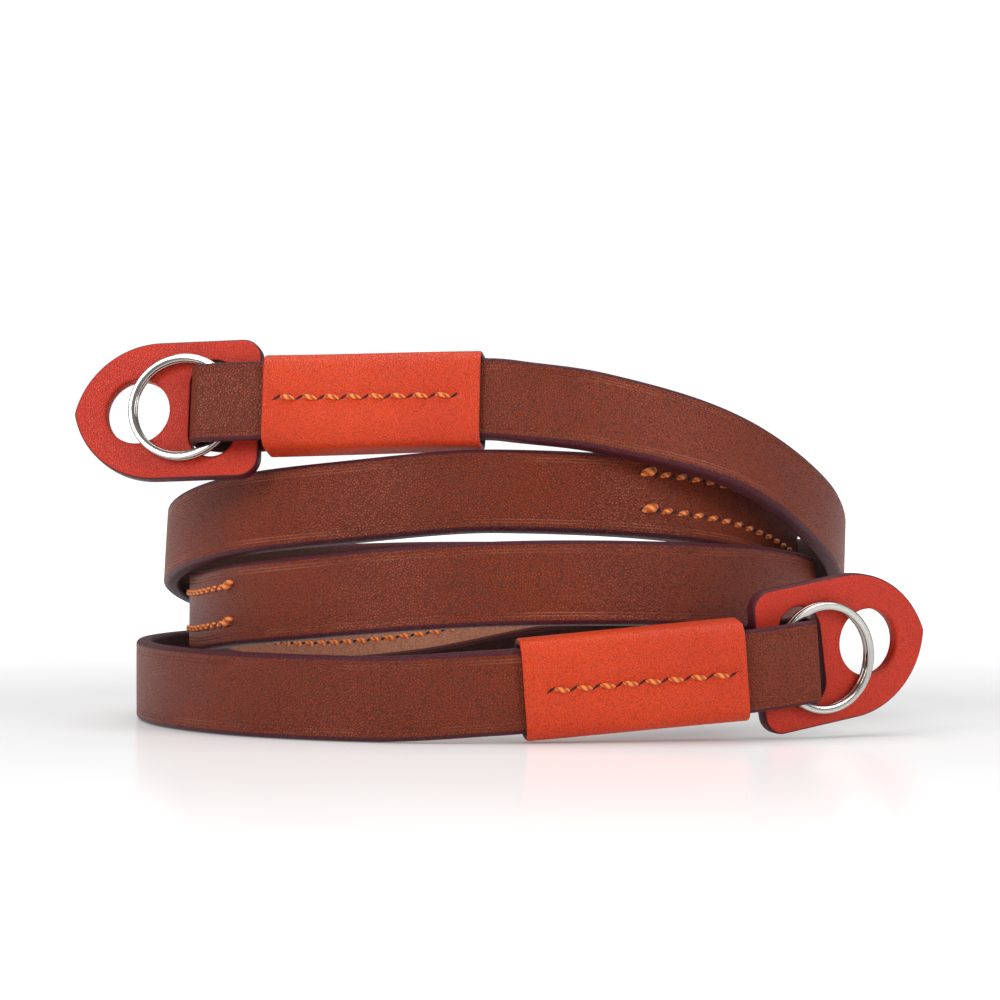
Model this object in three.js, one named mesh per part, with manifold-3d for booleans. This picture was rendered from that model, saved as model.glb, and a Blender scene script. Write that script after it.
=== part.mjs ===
// Coiled leather camera strap, millimetres, Z up, front of the coil towards -Y.
// A flat strap wound in three and a half turns stands on its edge. Each end runs through a sewn
// sleeve, goes round a split ring, through the slot of a lug guard and back into the sleeve.

import * as THREE from 'three';
import { mergeVertices } from 'three/addons/utils/BufferGeometryUtils.js';
import Module from 'manifold-3d';

const wasm = await Module();
wasm.setup();

// Driving dimensions
const coilRadius = 53.5;          // middle of the outermost turn
const strapWidth = 12;
const strapThickness = 2.4;
const edgeRound = 0.7;            // rounding of the burnished strap edges
const turnGap = 0.6;              // air between turns that lie side by side
const fitGap = 0.3;               // clearance between pieces that touch
const tongueThickness = 1.3;      // strap end, skived thin to fold
const tongueRingShare = 0.86;     // tongue width against the ring's bore
const padThickness = 1.2;
const padInset = 0.5;             // pad edge back from the strap edge
const padStart = 384;             // turn angles where the pad begins and ends, degrees
const padEnd = 672;
const sleeveLength = 31.5;
const sleeveWall = 0.9;
const sleeveCorner = 1.2;
const tailInset = 3;              // how far short of the sleeve's coil end the hidden tail stops
const mouthGap = 1.2;             // from the sleeve's mouth to the guard's base edge
const bendLength = 4;             // easing from the coil into the straight sleeve
const ringOuterDiameter = 16;
const ringWireRadial = 1.15;
const ringWireAxial = 1.5;
const ringGroove = 0.25;          // depth of the line between the ring's two turns
const ringReach = 3.4;            // guard's base edge to the ring's near side
const guardThickness = 2.2;
const guardBaseStrip = 3.8;       // leather between the guard's base edge and its slot
const guardBridge = 3.2;          // leather between the slot and the round hole
const guardHoleDiameter = 9.6;
const guardTipRim = 4.85;         // leather between the hole and the tip
const guardSideRim = 3.2;         // leather beside the slot
const guardShoulder = 12.7;       // tip to where the sides run parallel
const guardTipRadius = 1.5;
const guardBaseCorner = 3;
const guardEdgeRound = 0.3;
const slotEndGap = 1.3;           // slot beyond each edge of the tongue
const slotFoldGap = 0.6;          // slot beyond the fold
const foldCorner = 0.7;           // inner radius of the fold's front corner

// The coil's course, one row for each place where it changes.
// turn: degrees travelled from the front middle, left to right along the front
// reach: share of coilRadius; layers: turns that lie outside it
// rise: height of the strap's middle, share of strapWidth
// lean: degrees that the outer face looks up
const COIL = [
  { turn: 2, reach: 0.803, layers: 0.9, rise: 4.0, lean: 18 },
  { turn: 20, reach: 0.85, layers: 0.9, rise: 3.85, lean: 21 },
  { turn: 45, reach: 0.925, layers: 0.6, rise: 3.4, lean: 24 },
  { turn: 70, reach: 0.968, layers: 0.2, rise: 2.58, lean: 8 },
  { turn: 90, reach: 0.972, layers: 0, rise: 1.98, lean: -3 },
  { turn: 120, reach: 0.97, layers: 0, rise: 1.68, lean: -4 },
  { turn: 150, reach: 0.966, layers: 0, rise: 1.64, lean: -4 },
  { turn: 190, reach: 0.957, layers: 0, rise: 1.63, lean: -4 },
  { turn: 235, reach: 0.96, layers: 0.3, rise: 1.66, lean: -4 },
  { turn: 270, reach: 1, layers: 1, rise: 2.14, lean: 3 },
  { turn: 302, reach: 0.987, layers: 1.6, rise: 2.57, lean: 8 },
  { turn: 330, reach: 0.94, layers: 1.8, rise: 2.78, lean: 10 },
  { turn: 360, reach: 0.9, layers: 1.8, rise: 2.92, lean: 13 },
  { turn: 405, reach: 0.926, layers: 2, rise: 2.72, lean: 12 },
  { turn: 450, reach: 0.95, layers: 2, rise: 2.1, lean: 2 },
  { turn: 495, reach: 0.94, layers: 1.9, rise: 1.63, lean: -2 },
  { turn: 530, reach: 0.937, layers: 1.7, rise: 1.4, lean: -5 },
  { turn: 560, reach: 0.945, layers: 1.6, rise: 1.06, lean: -5 },
  { turn: 590, reach: 0.96, layers: 1.8, rise: 1.01, lean: -4 },
  { turn: 630, reach: 0.985, layers: 2, rise: 1.34, lean: 0 },
  { turn: 650, reach: 0.98, layers: 1.8, rise: 1.4, lean: 2 },
  { turn: 675, reach: 0.995, layers: 1.3, rise: 1.57, lean: 5 },
  { turn: 720, reach: 1, layers: 1, rise: 1.84, lean: 8 },
  { turn: 765, reach: 0.96, layers: 1, rise: 1.77, lean: 5 },
  { turn: 790, reach: 0.955, layers: 1.1, rise: 1.61, lean: 2 },
  { turn: 815, reach: 0.952, layers: 1.1, rise: 1.43, lean: 0 },
  { turn: 840, reach: 0.948, layers: 1.1, rise: 1.1, lean: -2 },
  { turn: 865, reach: 0.948, layers: 1.1, rise: 0.68, lean: -3 },
  { turn: 890, reach: 0.955, layers: 0.3, rise: 0.54, lean: -2 },
  { turn: 915, reach: 0.97, layers: 0, rise: 0.5, lean: 0 },
  { turn: 990, reach: 1.025, layers: 0, rise: 0.5, lean: 0 },
  { turn: 1035, reach: 1.025, layers: 0, rise: 0.5, lean: 0 },
  { turn: 1060, reach: 1.02, layers: 0, rise: 0.5, lean: 0 },
  { turn: 1079, reach: 1.014, layers: 0, rise: 0.585, lean: -4 },
];
const turnStep = 6;

// The two ends. side: 1 where the strap travels outwards, -1 where it travels inwards;
// heading: degrees that the sleeve turns away behind the front; climb: its slope;
// hang: degrees that ring and guard turn further back; roll: the guard's tilt in its plane;
// slide: how far the guard is pushed out in its loop.
const ENDS = [
  { name: 'upper', side: -1, heading: 9, climb: -1.5, lean: 16, hang: 2, roll: 0, slide: 0 },
  { name: 'lower', side: 1, heading: 8, climb: 5, lean: -5, hang: 19, roll: 3, slide: 1.2 },
];

// Sizes that follow from the driving ones
const layerPitch = strapThickness + turnGap;
const ringOuter = ringOuterDiameter / 2;
const ringInner = ringOuter - ringWireRadial;
const tongueWidth = 2 * ringInner * tongueRingShare;
const ringCentre = ringReach + ringOuter;
const ringBack = guardThickness / 2 + fitGap;
const ringFront = ringBack + ringWireAxial;
const loopFront = ringFront + fitGap;
const loopBack = -guardThickness / 2 - fitGap;
const ringAtTongueEdge = ringCentre - Math.sqrt(ringInner ** 2 - (tongueWidth / 2) ** 2);
const foldStart = ringAtTongueEdge;
const foldOuter = foldStart + foldCorner + tongueThickness;
const slotEnd = foldOuter + slotFoldGap;
const holeCentre = slotEnd + guardBridge + guardHoleDiameter / 2;
const guardLength = holeCentre + guardHoleDiameter / 2 + guardTipRim;
const slotLength = tongueWidth + 2 * slotEndGap;
const guardWidth = slotLength + 2 * guardSideRim;
const frontLayer = fitGap / 2;
const backLayer = -fitGap / 2;
const strapMiddle = frontLayer + strapThickness / 2;
const sleeveStart = -sleeveLength - mouthGap;
const sleeveMouth = -mouthGap;
const degree = Math.PI / 180;

// A column of the table at any turn: a cubic through the rows, level where two rows are alike
function column(name, turn) {
  let i = COIL.length - 2;
  while (i > 0 && COIL[i].turn > turn) i -= 1;
  const slope = (k) => {
    const before = COIL[Math.max(k - 1, 0)];
    const after = COIL[Math.min(k + 1, COIL.length - 1)];
    const level = (k > 0 && before[name] === COIL[k][name])
      || (k < COIL.length - 1 && after[name] === COIL[k][name]);
    return level ? 0 : (after[name] - before[name]) / (after.turn - before.turn);
  };
  const span = COIL[i + 1].turn - COIL[i].turn;
  const t = (turn - COIL[i].turn) / span;
  return (1 + 2 * t) * (1 - t) ** 2 * COIL[i][name]
    + t * (1 - t) ** 2 * span * slope(i)
    + t * t * (3 - 2 * t) * COIL[i + 1][name]
    + t * t * (t - 1) * span * slope(i + 1);
}

// Middle of the strap at a turn angle
function coilPoint(turn) {
  const radius = coilRadius * column('reach', turn) - layerPitch * column('layers', turn);
  const angle = turn * degree;
  const height = strapWidth * column('rise', turn);
  return new THREE.Vector3(radius * Math.sin(angle), -radius * Math.cos(angle), height);
}

// Face and width directions of a strap that travels along a tangent with a lean
function leaning(tangent, lean) {
  const face = tangent.clone().cross(new THREE.Vector3(0, 0, 1)).normalize();
  const width = face.clone().cross(tangent).normalize();
  return {
    face: face.clone().multiplyScalar(Math.cos(lean * degree))
      .addScaledVector(width, Math.sin(lean * degree)),
    width: width.clone().multiplyScalar(Math.cos(lean * degree))
      .addScaledVector(face, -Math.sin(lean * degree)),
  };
}

function coilTangent(turn) {
  const probe = 0.5;
  return coilPoint(turn + probe).sub(coilPoint(turn - probe)).normalize();
}

// One station of the coil: its middle, directions and half sizes
function coilStation(turn) {
  return {
    point: coilPoint(turn),
    ...leaning(coilTangent(turn), column('lean', turn)),
    halfWidth: strapWidth / 2,
    halfThickness: strapThickness / 2,
  };
}

// Frame of one end: origin where the guard's base edge meets its mid plane
function endFrame(end) {
  const outermost = end.side > 0 ? COIL[COIL.length - 1] : COIL[0];
  const leave = coilTangent(outermost.turn).multiplyScalar(end.side);
  const away = end.heading * degree;
  const climb = end.climb * degree;
  const along = new THREE.Vector3(
    end.side * Math.cos(away) * Math.cos(climb),
    Math.sin(away) * Math.cos(climb),
    Math.sin(climb),
  );
  const start = coilPoint(outermost.turn);
  const middle = leave.clone().add(along).normalize();
  const mouth = start.clone().addScaledVector(middle, bendLength);
  const { face, width } = leaning(along.clone().multiplyScalar(end.side), end.lean);
  const origin = mouth.clone()
    .addScaledVector(along, -sleeveStart)
    .addScaledVector(face, -strapMiddle);
  return { start, leave, along, face, width, mouth, origin, outermost };
}

const smooth = (t) => {
  const x = Math.min(Math.max(t, 0), 1);
  return x * x * (3 - 2 * x);
};

// In the sleeve the two layers part towards its mouth, and the front one is skived thin
const spread = (e) => (e - sleeveStart) / sleeveLength;
const skive = (e) => smooth((e - sleeveStart) / (sleeveLength - tailInset));
const frontInner = (e) => THREE.MathUtils.lerp(frontLayer, loopFront, spread(e));
const backInner = (e) => THREE.MathUtils.lerp(backLayer, loopBack, spread(e));
const frontThickness = (e) => THREE.MathUtils.lerp(strapThickness, tongueThickness, skive(e));
const frontWidth = (e) => THREE.MathUtils.lerp(strapWidth, tongueWidth, skive(e));

// Turn a point of the guard's plane back into the sleeve's plane
function hangPoint(end, e, n) {
  const turn = end.hang * degree;
  return new THREE.Vector2(
    e * Math.cos(turn) + n * Math.sin(turn),
    n * Math.cos(turn) - e * Math.sin(turn),
  );
}

// Course of the strap end in the plane of its thickness: sleeve, loop and tail
function tongueCourse(end) {
  const half = tongueThickness / 2;
  const sleeveSteps = 8;
  const places = [];
  const add = (point, thickness, width) => places.push({ point, thickness, width });
  for (let k = 0; k <= sleeveSteps; k += 1) {
    const e = sleeveStart + (k / sleeveSteps) * sleeveLength;
    const thickness = frontThickness(e);
    add(new THREE.Vector2(e, frontInner(e) + thickness / 2), thickness, frontWidth(e));
  }
  const inLoop = (e, n) => add(hangPoint(end, e, n), tongueThickness, tongueWidth);
  inLoop(foldStart * 0.35, loopFront + half);
  inLoop(foldStart * 0.7, loopFront + half);
  const frontBend = foldCorner + half;
  const cornerSteps = 4;
  for (let k = 0; k <= cornerSteps; k += 1) {
    const angle = (k / cornerSteps) * 90 * degree;
    inLoop(foldStart + frontBend * Math.sin(angle),
      loopFront - foldCorner + frontBend * Math.cos(angle));
  }
  const backBend = (loopFront - foldCorner - loopBack + half);
  const backSteps = 5;
  const foldReach = foldStart + frontBend;
  for (let k = 1; k <= backSteps; k += 1) {
    const angle = (k / backSteps) * 90 * degree;
    inLoop(foldReach - backBend * (1 - Math.cos(angle)),
      loopFront - foldCorner - backBend * Math.sin(angle));
  }
  inLoop((foldReach - backBend) * 0.35, loopBack - half);
  const tailSteps = 5;
  for (let k = tailSteps; k >= 0; k -= 1) {
    const tailStart = sleeveStart + tailInset;
    const e = tailStart + (k / tailSteps) * (sleeveMouth - tailStart);
    add(new THREE.Vector2(e, backInner(e) - half), tongueThickness, tongueWidth);
  }
  return places;
}

// Stations of a strap end, from the coil outwards, in space
function endStations(end) {
  const frame = endFrame(end);
  const stations = [];
  const bend = new THREE.CubicBezierCurve3(
    frame.start,
    frame.start.clone().addScaledVector(frame.leave, bendLength / 3),
    frame.mouth.clone().addScaledVector(frame.along, -bendLength / 3),
    frame.mouth,
  );
  const bendMiddle = bend.getPoint(0.5);
  const bendTangent = bend.getTangent(0.5).multiplyScalar(end.side);
  stations.push({
    point: bendMiddle,
    ...leaning(bendTangent, (frame.outermost.lean + end.lean) / 2),
    halfWidth: strapWidth / 2,
    halfThickness: strapThickness / 2,
  });
  const places = tongueCourse(end);
  places.forEach((place, k) => {
    const before = places[Math.max(k - 1, 0)].point;
    const after = places[Math.min(k + 1, places.length - 1)].point;
    const way = after.clone().sub(before).normalize();
    const point = frame.origin.clone()
      .addScaledVector(frame.along, place.point.x)
      .addScaledVector(frame.face, place.point.y);
    const face = frame.face.clone().multiplyScalar(way.x)
      .addScaledVector(frame.along, -way.y);
    stations.push({
      point,
      face,
      width: frame.width,
      halfWidth: place.width / 2,
      halfThickness: place.thickness / 2,
    });
  });
  return stations;
}

// Section of a band: flat faces and flat edges joined by rounded corners
function bandSection(halfThickness, halfWidth, round) {
  const corner = Math.min(round, halfThickness * 0.8);
  const section = [];
  for (let quarter = 0; quarter < 4; quarter += 1) {
    const faceSide = quarter === 0 || quarter === 3 ? 1 : -1;
    const widthSide = quarter < 2 ? 1 : -1;
    for (const step of [0, 0.5, 1]) {
      const angle = (quarter + step) * 90 * degree;
      section.push([
        faceSide * (halfThickness - corner) + corner * Math.cos(angle),
        widthSide * (halfWidth - corner) + corner * Math.sin(angle),
      ]);
    }
  }
  return section;
}

// Closed solid from rings of points, with both ends capped by fans
function loft(rings) {
  const count = rings[0].length;
  const positions = [];
  rings.forEach((ring) => ring.forEach((point) => positions.push(point.x, point.y, point.z)));
  const index = [];
  for (let i = 0; i < rings.length - 1; i += 1) {
    for (let j = 0; j < count; j += 1) {
      const next = (j + 1) % count;
      const a = i * count + j;
      const b = i * count + next;
      const c = (i + 1) * count + next;
      const d = (i + 1) * count + j;
      index.push(a, c, b, a, d, c);
    }
  }
  const last = (rings.length - 1) * count;
  for (let j = 1; j < count - 1; j += 1) {
    index.push(0, j, j + 1);
    index.push(last, last + j + 1, last + j);
  }
  const geometry = new THREE.BufferGeometry();
  geometry.setAttribute('position', new THREE.Float32BufferAttribute(positions, 3));
  geometry.setIndex(index);
  geometry.computeVertexNormals();
  return geometry;
}

// A band solid: each station's section set out along its face and width directions
function bandSolid(stations, round, offset = 0) {
  return loft(stations.map((station) => bandSection(station.halfThickness, station.halfWidth, round)
    .map(([n, u]) => station.point.clone()
      .addScaledVector(station.face, n + offset)
      .addScaledVector(station.width, u))));
}

function coilTurns(from, to) {
  const steps = Math.ceil((to - from) / turnStep);
  return Array.from({ length: steps + 1 }, (_, k) => from + ((to - from) * k) / steps);
}

function strapSolid() {
  const first = COIL[0].turn;
  const last = COIL[COIL.length - 1].turn;
  const upper = endStations(ENDS[0]).reverse();
  const coil = coilTurns(first, last).map(coilStation);
  return bandSolid([...upper, ...coil, ...endStations(ENDS[1])], edgeRound);
}

function padSolid() {
  const offset = -(strapThickness / 2 + fitGap + padThickness / 2);
  const stations = coilTurns(padStart, padEnd).map((turn) => ({
    ...coilStation(turn),
    halfWidth: strapWidth / 2 - padInset,
    halfThickness: padThickness / 2,
  }));
  return bandSolid(stations, padThickness / 3, offset);
}

// A closed three.js geometry as a manifold-3d solid, to cut the sleeve's hollow
function toManifold(geometry) {
  const bare = geometry.clone();
  bare.deleteAttribute('normal');
  bare.deleteAttribute('uv');
  const merged = mergeVertices(bare, 1e-4);
  return new wasm.Manifold(new wasm.Mesh({
    numProp: 3,
    vertProperties: new Float32Array(merged.attributes.position.array),
    triVerts: new Uint32Array(merged.index.array),
  }));
}

function fromManifold(solid) {
  const mesh = solid.getMesh();
  const geometry = new THREE.BufferGeometry();
  const positions = new Float32Array(mesh.vertProperties);
  geometry.setAttribute('position', new THREE.BufferAttribute(positions, 3));
  geometry.setIndex(new THREE.BufferAttribute(new Uint32Array(mesh.triVerts), 1));
  geometry.computeVertexNormals();
  return geometry;
}

// Section of the sleeve across the strap: a rectangle with rounded corners
function sleeveRing(frame, e, front, back, half, corner) {
  const middle = (front + back) / 2;
  return bandSection((front - back) / 2, half, corner).map(([n, u]) => frame.origin.clone()
    .addScaledVector(frame.along, e)
    .addScaledVector(frame.face, middle + n)
    .addScaledVector(frame.width, u));
}

function sleeveSolid(end) {
  const frame = endFrame(end);
  const steps = 8;
  const cutOver = 1;
  const walls = (grow, over) => {
    const corner = grow > 0 ? sleeveCorner : sleeveCorner * 0.4;
    const rings = [];
    for (let k = 0; k <= steps; k += 1) {
      const inside = sleeveStart + (k / steps) * sleeveLength;
      const stretch = k === 0 ? -over : (k === steps ? over : 0);
      const front = frontInner(inside) + frontThickness(inside) + fitGap + grow;
      const back = backInner(inside) - tongueThickness - fitGap - grow;
      const half = strapWidth / 2 + fitGap + grow;
      rings.push(sleeveRing(frame, inside + stretch, front, back, half, corner));
    }
    return loft(end.side > 0 ? rings : rings.reverse());
  };
  const hollow = toManifold(walls(sleeveWall, 0)).subtract(toManifold(walls(0, cutOver)));
  return fromManifold(hollow);
}

// Outline of the guard: straight base, parallel sides, two arcs that meet in a rounded tip
function guardShape() {
  const half = guardWidth / 2;
  const sweepRadius = (guardShoulder ** 2 + half ** 2) / (2 * half);
  const centreDrop = half - sweepRadius;
  const sideEnd = guardLength - guardShoulder;
  const tipOffset = Math.sqrt((sweepRadius - guardTipRadius) ** 2 - centreDrop ** 2);
  const meet = Math.atan2(-centreDrop, tipOffset);
  const shape = new THREE.Shape();
  shape.moveTo(0, -half + guardBaseCorner);
  shape.absarc(guardBaseCorner, -half + guardBaseCorner, guardBaseCorner, Math.PI, 1.5 * Math.PI, false);
  shape.absarc(sideEnd, -centreDrop, sweepRadius, -0.5 * Math.PI, -meet, false);
  shape.absarc(sideEnd + tipOffset, 0, guardTipRadius, -meet, meet, false);
  shape.absarc(sideEnd, centreDrop, sweepRadius, meet, 0.5 * Math.PI, false);
  shape.absarc(guardBaseCorner, half - guardBaseCorner, guardBaseCorner, 0.5 * Math.PI, Math.PI, false);
  const hole = new THREE.Path();
  hole.absarc(holeCentre, 0, guardHoleDiameter / 2, 0, 2 * Math.PI, true);
  const slotRound = (slotEnd - guardBaseStrip) / 2;
  const slotMiddle = guardBaseStrip + slotRound;
  const slotArm = slotLength / 2 - slotRound;
  const slot = new THREE.Path();
  slot.absarc(slotMiddle, slotArm, slotRound, Math.PI, 0, true);
  slot.absarc(slotMiddle, -slotArm, slotRound, 0, -Math.PI, true);
  shape.holes.push(hole, slot);
  return shape;
}

function guardSolid() {
  const geometry = new THREE.ExtrudeGeometry(guardShape(), {
    depth: guardThickness - 2 * guardEdgeRound,
    curveSegments: 9,
    bevelEnabled: true,
    bevelThickness: guardEdgeRound,
    bevelSize: guardEdgeRound,
    bevelOffset: -guardEdgeRound,
    bevelSegments: 1,
  });
  return geometry.translate(0, 0, guardEdgeRound - guardThickness / 2);
}

// Split ring: two flat turns of wire pressed together, with a line between them
function ringSolid() {
  const half = ringWireAxial / 2;
  const chamfer = ringWireRadial * 0.2;
  const profile = [
    [ringInner + chamfer, -half],
    [ringOuter - chamfer, -half],
    [ringOuter, -half + chamfer],
    [ringOuter, -ringGroove],
    [ringOuter - ringGroove, 0],
    [ringOuter, ringGroove],
    [ringOuter, half - chamfer],
    [ringOuter - chamfer, half],
    [ringInner + chamfer, half],
    [ringInner, half - chamfer],
    [ringInner, -half + chamfer],
    [ringInner + chamfer, -half],
  ].map(([radius, height]) => new THREE.Vector2(radius, height));
  const segments = 36;
  return new THREE.LatheGeometry(profile, segments).rotateX(Math.PI / 2);
}

const leather = { metalness: 0, roughness: 0.55 };
const finishes = {
  strap: new THREE.MeshStandardMaterial({ color: 0x73371f, ...leather }),
  pad: new THREE.MeshStandardMaterial({ color: 0x966955, metalness: 0, roughness: 0.85 }),
  sleeve: new THREE.MeshStandardMaterial({ color: 0xe14b28, ...leather }),
  guard: new THREE.MeshStandardMaterial({ color: 0xc83223, ...leather }),
  ring: new THREE.MeshStandardMaterial({ color: 0xc8c8c6, metalness: 1, roughness: 0.2 }),
};

function piece(name, geometry, finish) {
  const mesh = new THREE.Mesh(geometry, finishes[finish].clone());
  mesh.name = name;
  return mesh;
}

const strap = new THREE.Group();
strap.name = 'coiled_strap';
strap.add(piece('strap', strapSolid(), 'strap'));
strap.add(piece('shoulder_pad', padSolid(), 'pad'));

for (const end of ENDS) {
  strap.add(piece(`sleeve_${end.name}`, sleeveSolid(end), 'sleeve'));
  const frame = endFrame(end);
  const hang = end.hang * degree;
  const outward = frame.along.clone().multiplyScalar(Math.cos(hang))
    .addScaledVector(frame.face, -Math.sin(hang));
  const front = frame.face.clone().multiplyScalar(Math.cos(hang))
    .addScaledVector(frame.along, Math.sin(hang));
  const across = front.clone().cross(outward);
  const endGroup = new THREE.Group();
  endGroup.name = `end_${end.name}`;
  endGroup.applyMatrix4(new THREE.Matrix4().makeBasis(outward, across, front)
    .setPosition(frame.origin));

  const guard = piece(`lug_guard_${end.name}`, guardSolid(), 'guard');
  guard.rotation.z = end.side * end.roll * degree;
  guard.position.x = end.slide;
  endGroup.add(guard);

  const ring = piece(`ring_${end.name}`, ringSolid(), 'ring');
  ring.position.set(ringCentre, 0, (ringBack + ringFront) / 2);
  endGroup.add(ring);
  strap.add(endGroup);
}

// The part's frame: the middle of its box on the surface that it stands on
const box = new THREE.Box3().setFromObject(strap, true);
const middle = box.getCenter(new THREE.Vector3());
strap.position.set(-middle.x, -middle.y, -box.min.z);

export default strap;
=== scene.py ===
import bpy
import numpy as np
from mathutils.geometry import tessellate_polygon
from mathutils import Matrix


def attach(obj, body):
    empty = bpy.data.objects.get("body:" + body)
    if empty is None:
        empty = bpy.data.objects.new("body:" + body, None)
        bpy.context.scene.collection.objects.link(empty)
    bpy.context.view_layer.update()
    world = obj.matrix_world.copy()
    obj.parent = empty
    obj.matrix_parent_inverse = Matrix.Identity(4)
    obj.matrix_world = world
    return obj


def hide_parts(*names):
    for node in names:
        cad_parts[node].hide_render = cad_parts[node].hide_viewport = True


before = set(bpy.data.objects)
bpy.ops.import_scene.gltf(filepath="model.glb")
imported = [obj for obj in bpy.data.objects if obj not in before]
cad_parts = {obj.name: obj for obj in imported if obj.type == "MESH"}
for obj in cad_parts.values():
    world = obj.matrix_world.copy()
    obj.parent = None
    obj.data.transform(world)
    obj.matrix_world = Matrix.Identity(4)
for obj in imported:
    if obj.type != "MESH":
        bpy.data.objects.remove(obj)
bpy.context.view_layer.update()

# Strap. One strip of brown full-grain leather, wound in three turns and stood on its edge. Its
# edges are rounded, burnished and painted dark red, and a hot iron has sunk two fine lines along
# each, with a painted highlight in them. Both ends are skived thin, go round a ring and a lug guard,
# and fold back.

strap_width = 12.0        # millimetres here and below; the meshes are made in metres
strap_thickness = 2.4
edge_round = 0.7
coil_radius = 53.5
turn_gap = 0.6
layer_pitch = strap_thickness + turn_gap
part_origin = np.array([0.53703, 2.05398, 0.0])    # brings the middle of the part's box to nought

# turn in degrees from the front middle, share of the radius, turns lying outside, height of the
# middle in widths, degrees that the outer face looks up
coil_rows = np.array([
    (2, 0.803, 0.9, 4.0, 18), (20, 0.85, 0.9, 3.85, 21), (45, 0.925, 0.6, 3.4, 24),
    (70, 0.968, 0.2, 2.58, 8), (90, 0.972, 0, 1.98, -3), (120, 0.97, 0, 1.68, -4),
    (150, 0.966, 0, 1.64, -4), (190, 0.957, 0, 1.63, -4), (235, 0.96, 0.3, 1.66, -4),
    (270, 1, 1, 2.14, 3), (302, 0.987, 1.6, 2.57, 8), (330, 0.94, 1.8, 2.78, 10),
    (360, 0.9, 1.8, 2.92, 13), (405, 0.926, 2, 2.72, 12), (450, 0.95, 2, 2.1, 2),
    (495, 0.94, 1.9, 1.63, -2), (530, 0.937, 1.7, 1.4, -5), (560, 0.945, 1.6, 1.06, -5),
    (590, 0.96, 1.8, 1.01, -4), (630, 0.985, 2, 1.34, 0), (650, 0.98, 1.8, 1.4, 2),
    (675, 0.995, 1.3, 1.57, 5), (720, 1, 1, 1.84, 8), (765, 0.96, 1, 1.77, 5),
    (790, 0.955, 1.1, 1.61, 2), (815, 0.952, 1.1, 1.43, 0), (840, 0.948, 1.1, 1.1, -2),
    (865, 0.948, 1.1, 0.68, -3), (890, 0.955, 0.3, 0.54, -2), (915, 0.97, 0, 0.5, 0),
    (990, 1.025, 0, 0.5, 0), (1035, 1.025, 0, 0.5, 0), (1060, 1.02, 0, 0.5, 0),
    (1079, 1.014, 0, 0.585, -4)], float)


def unit(vectors):
    """Each vector divided by its own length."""
    return vectors / np.linalg.norm(vectors, axis=-1, keepdims=True)


def through(at, rows, places):
    """A smooth course through rows: between two rows a cubic that leaves each with the slope from
    the row before it to the row after it, level where two neighbouring rows are equal."""
    rows = rows.reshape(len(at), -1)
    before = np.maximum(np.arange(len(at)) - 1, 0)
    after = np.minimum(np.arange(len(at)) + 1, len(at) - 1)
    slope = (rows[after] - rows[before]) / (at[after] - at[before])[:, None]
    same = np.diff(rows, axis=0) == 0
    none = np.zeros((1, rows.shape[1]), bool)
    slope[np.vstack([none, same]) | np.vstack([same, none])] = 0
    i = np.clip(np.searchsorted(at, places, side="right") - 1, 0, len(at) - 2)
    span = (at[i + 1] - at[i])[:, None]
    t = (places - at[i])[:, None] / span
    return ((1 + 2 * t) * (1 - t) ** 2 * rows[i] + t * (1 - t) ** 2 * span * slope[i]
            + t * t * (3 - 2 * t) * rows[i + 1] + t * t * (t - 1) * span * slope[i + 1])


def coil_middle(turns):
    """Middle of the strap: radius times sine and minus cosine of the turn, and the height. The
    radius is the share of the coil's radius less one layer for each turn that lies outside."""
    reach, layers, rise, lean = through(coil_rows[:, 0], coil_rows[:, 1:], turns).T
    radius = coil_radius * reach - layer_pitch * layers
    angle = np.radians(turns)
    return np.stack([radius * np.sin(angle), -radius * np.cos(angle), strap_width * rise], -1)


def coil_along(turns):
    """Direction of travel: the difference of two middles one degree apart."""
    return unit(coil_middle(turns + 0.5) - coil_middle(turns - 0.5))


def leaning(along, lean):
    """Outward face and width directions of a strap on its edge, both turned about the direction
    of travel by the lean: each is its cosine part plus or minus the other's sine part."""
    face = unit(np.cross(along, [0.0, 0.0, 1.0]))
    width = unit(np.cross(face, along))
    c, s = np.cos(np.radians(lean))[..., None], np.sin(np.radians(lean))[..., None]
    return face * c + width * s, width * c - face * s


def coil_sides(turns):
    """Direction of travel, outward face and width direction of the coil at each turn."""
    along = coil_along(turns)
    return along, *leaning(along, through(coil_rows[:, 0], coil_rows[:, 4], turns)[:, 0])


# Along each end, distances run outwards from the base edge of its lug guard. The sleeve stops
# short of it, and the strap's folded end leaves room for the guard and the ring.
sleeve_length = 31.5
sleeve_mouth = -1.2
sleeve_start = sleeve_mouth - sleeve_length
bend_length = 4.0
layer_gap = 0.15
tail_inset = 3.0
tongue_thickness = 1.3
ring_inner, ring_outer = 6.85, 8.0
ring_reach, ring_depth = 3.4, 1.5
guard_thickness = 2.2
fit_gap = 0.3
tongue_width = 2 * ring_inner * 0.86
ring_centre = ring_reach + ring_outer
loop_front = guard_thickness / 2 + fit_gap + ring_depth + fit_gap
loop_back = -guard_thickness / 2 - fit_gap
fold_start = ring_centre - np.sqrt(ring_inner ** 2 - (tongue_width / 2) ** 2)
fold_corner = 0.7

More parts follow.
